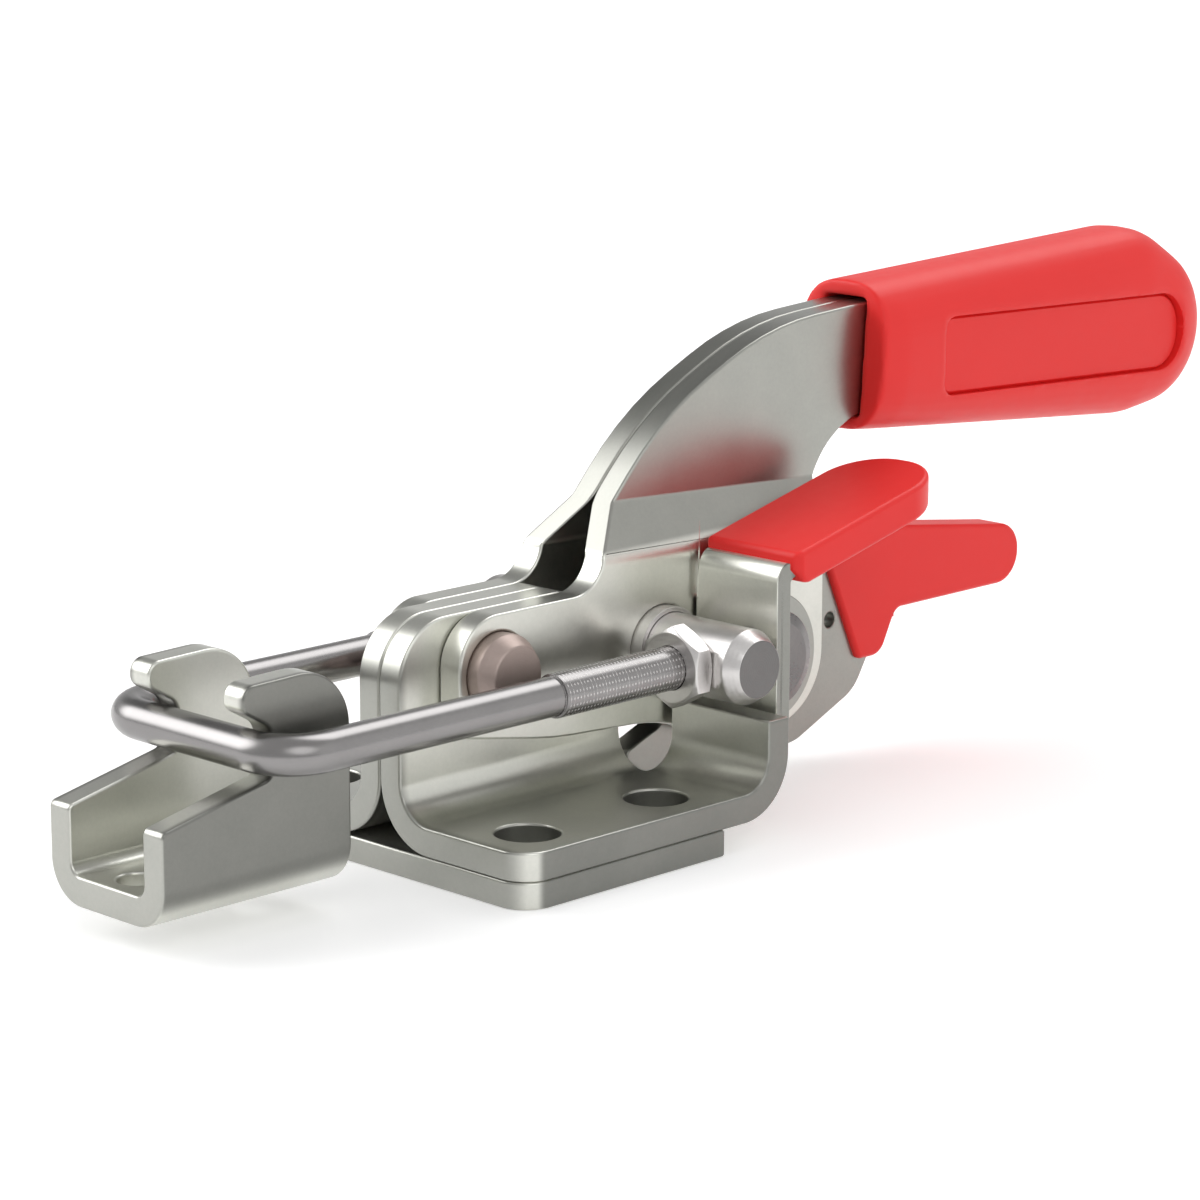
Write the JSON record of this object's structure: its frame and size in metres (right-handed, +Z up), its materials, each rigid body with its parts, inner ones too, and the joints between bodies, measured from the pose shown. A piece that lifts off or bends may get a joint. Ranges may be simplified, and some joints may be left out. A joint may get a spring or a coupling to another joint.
{
  "type": "pull-action toggle clamp",
  "caption": "Pull-action latch toggle clamp: flanged base, swept lever with dipped grip, threaded U-bolt, hooked latch plate, thumb lever and release lever.",
  "frame": {"origin": "centre of the four base holes, on the underside of the base plate", "axes": "+X from the latch plate towards the grip, +Y to the far side, +Z up from the mounting surface"},
  "size_m": [0.2164, 0.055, 0.0723],
  "materials": {
    "zinc_steel": "satin zinc plate",
    "bright_steel": "polished",
    "bronze_pin": "satin",
    "red_vinyl": "satin"
  },
  "bodies": {
    "base": {"base_plate": "zinc_steel", "side_plate_near": "zinc_steel", "side_plate_far": "zinc_steel", "pivot_pin": "bronze_pin"},
    "handle": {"handle_plate_near": "zinc_steel", "handle_plate_far": "zinc_steel", "grip": "red_vinyl", "trunnion_bush_near": "bright_steel", "trunnion_bush_far": "bright_steel", "lever_pin": "bright_steel", "lever_spacer_near": "bright_steel", "lever_spacer_far": "bright_steel"},
    "hook_link": {"trunnion": "bright_steel", "u_bolt": "bright_steel", "jam_nut_near": "bright_steel", "jam_nut_far": "bright_steel", "latch_plate": "zinc_steel"},
    "thumb_lever": {"thumb_lever_near": "zinc_steel", "thumb_pad_near": "red_vinyl"},
    "release": {"release_lever": "zinc_steel", "release_sleeve": "red_vinyl", "release_spring_near": "bright_steel", "release_spring_far": "bright_steel"}
  },
  "joints": [
    {"name": "handle_swing", "type": "hinge", "parent": "base", "child": "handle", "pos_m": [-0.0063, 0, 0.0261], "axis": [0, -1, 0], "range_deg": [0, 95]},
    {"name": "u_bolt_swing", "type": "hinge", "parent": "handle", "child": "hook_link", "pos_m": [0.0248, 0, 0.0243], "axis": [0, -1, 0], "range_deg": [-72, 0]},
    {"name": "thumb_press", "type": "hinge", "parent": "handle", "child": "thumb_lever", "pos_m": [0.0445, 0, 0.0198], "axis": [0, 1, 0], "range_deg": [0, 8], "stiffness_Nm_per_rad": 1.5, "springref_deg": -5.73},
    {"name": "release_squeeze", "type": "hinge", "parent": "handle", "child": "release", "pos_m": [0.0445, 0, 0.0198], "axis": [0, -1, 0], "range_deg": [0, 9], "stiffness_Nm_per_rad": 2, "springref_deg": -6.88}
  ],
  "couplings": [
    {"joint": "u_bolt_swing", "follows": "handle_swing", "ratio": -0.75}
  ]
}
